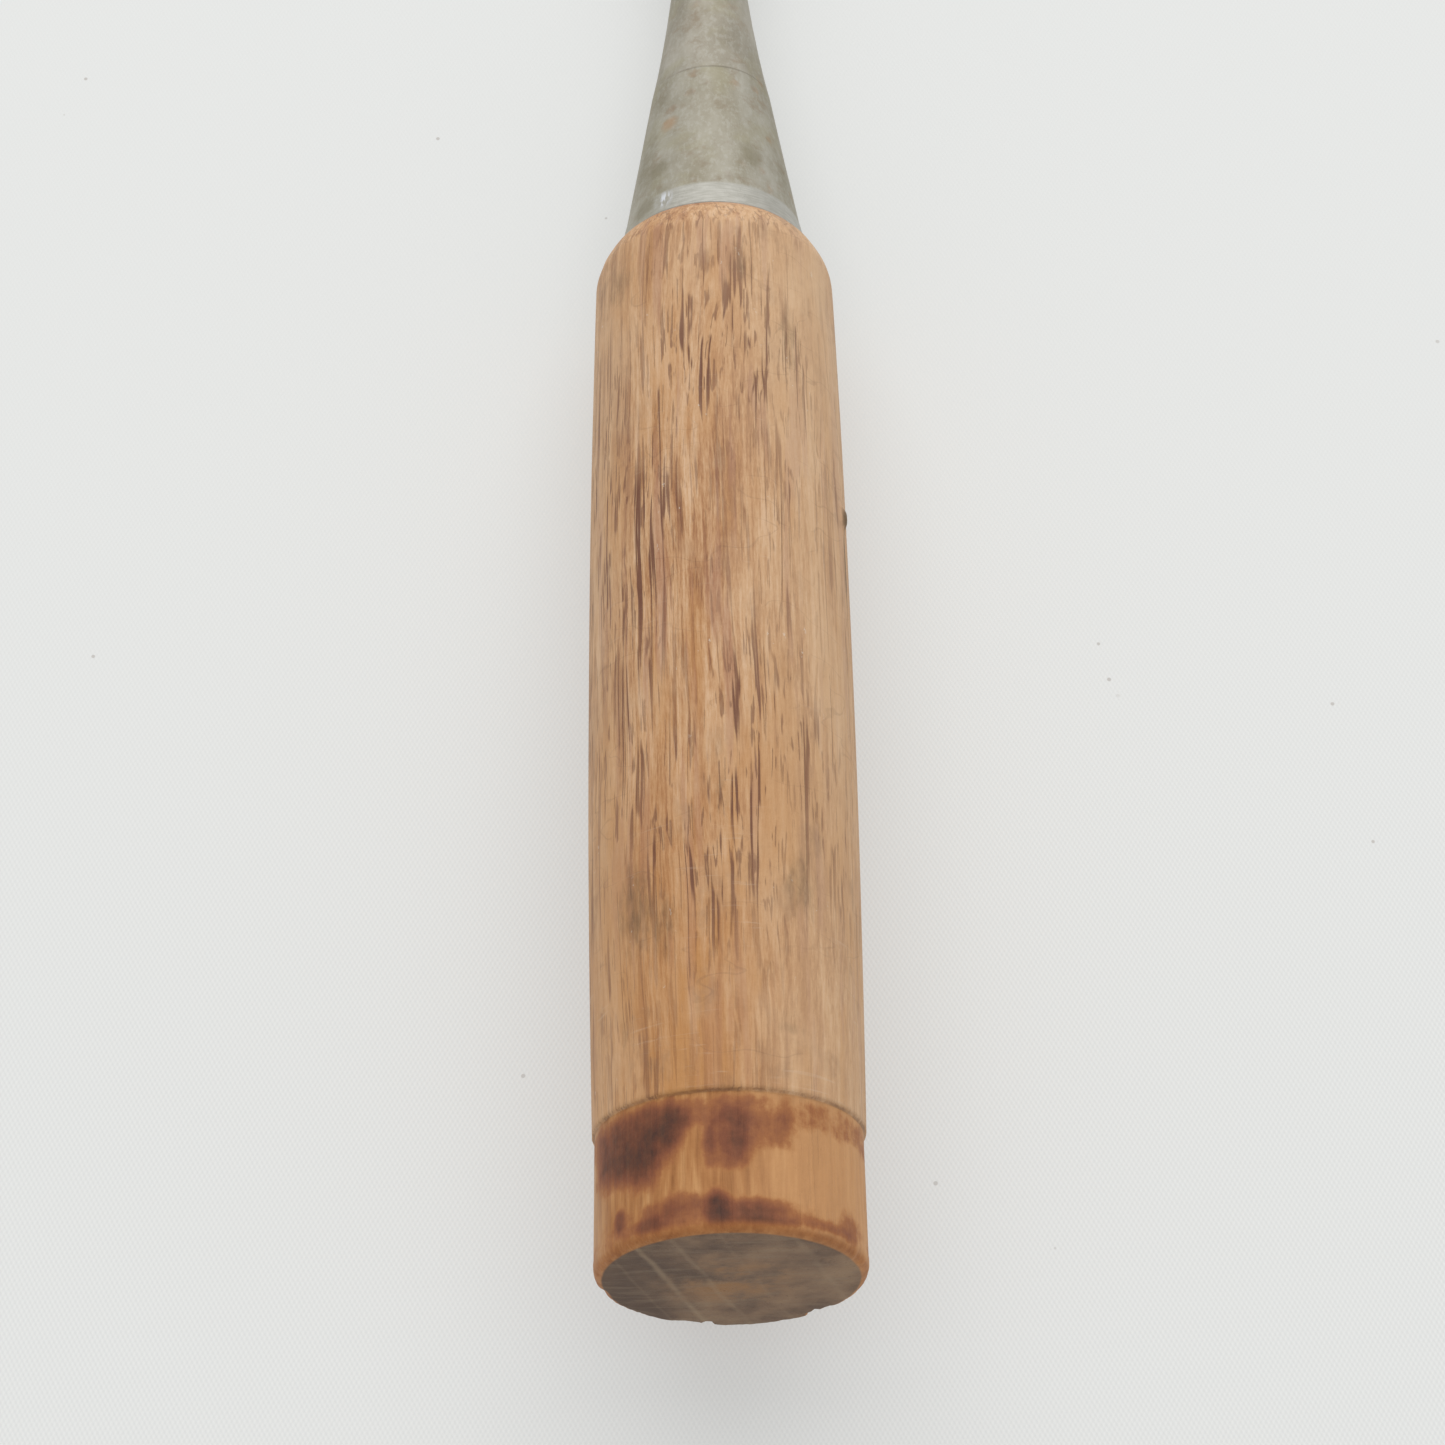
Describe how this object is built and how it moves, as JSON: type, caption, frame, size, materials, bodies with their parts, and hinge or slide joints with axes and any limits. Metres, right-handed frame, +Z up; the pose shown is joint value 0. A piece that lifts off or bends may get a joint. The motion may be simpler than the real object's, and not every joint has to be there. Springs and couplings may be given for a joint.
{
  "type": "striking gouge",
  "caption": "Struck bench gouge: turned oak handle with a bare hoop seat, conical steel ferrule and a tanged, laminated blade with an outside bevel.",
  "frame": {"origin": "centre of the handle's butt face, on the tool's axis", "axes": "+Y along the tool from the butt towards the cutting edge, +Z up with the blade's hollow facing down, +X to the right seen from the butt"},
  "size_m": [0.03, 0.2647, 0.03],
  "materials": {
    "handle_wood": "dry, hand-worn oak with iron stains at the butt",
    "ferrule_steel": "dull and lightly rusted, polished at the mouth",
    "forged_iron": "forged, brown-grey patina, ground bevel",
    "edge_steel": "ground and honed"
  },
  "bodies": {
    "root": {"handle": "handle_wood", "ferrule": "ferrule_steel", "blade": "forged_iron", "cutting_steel": "edge_steel"}
  },
  "joints": []
}
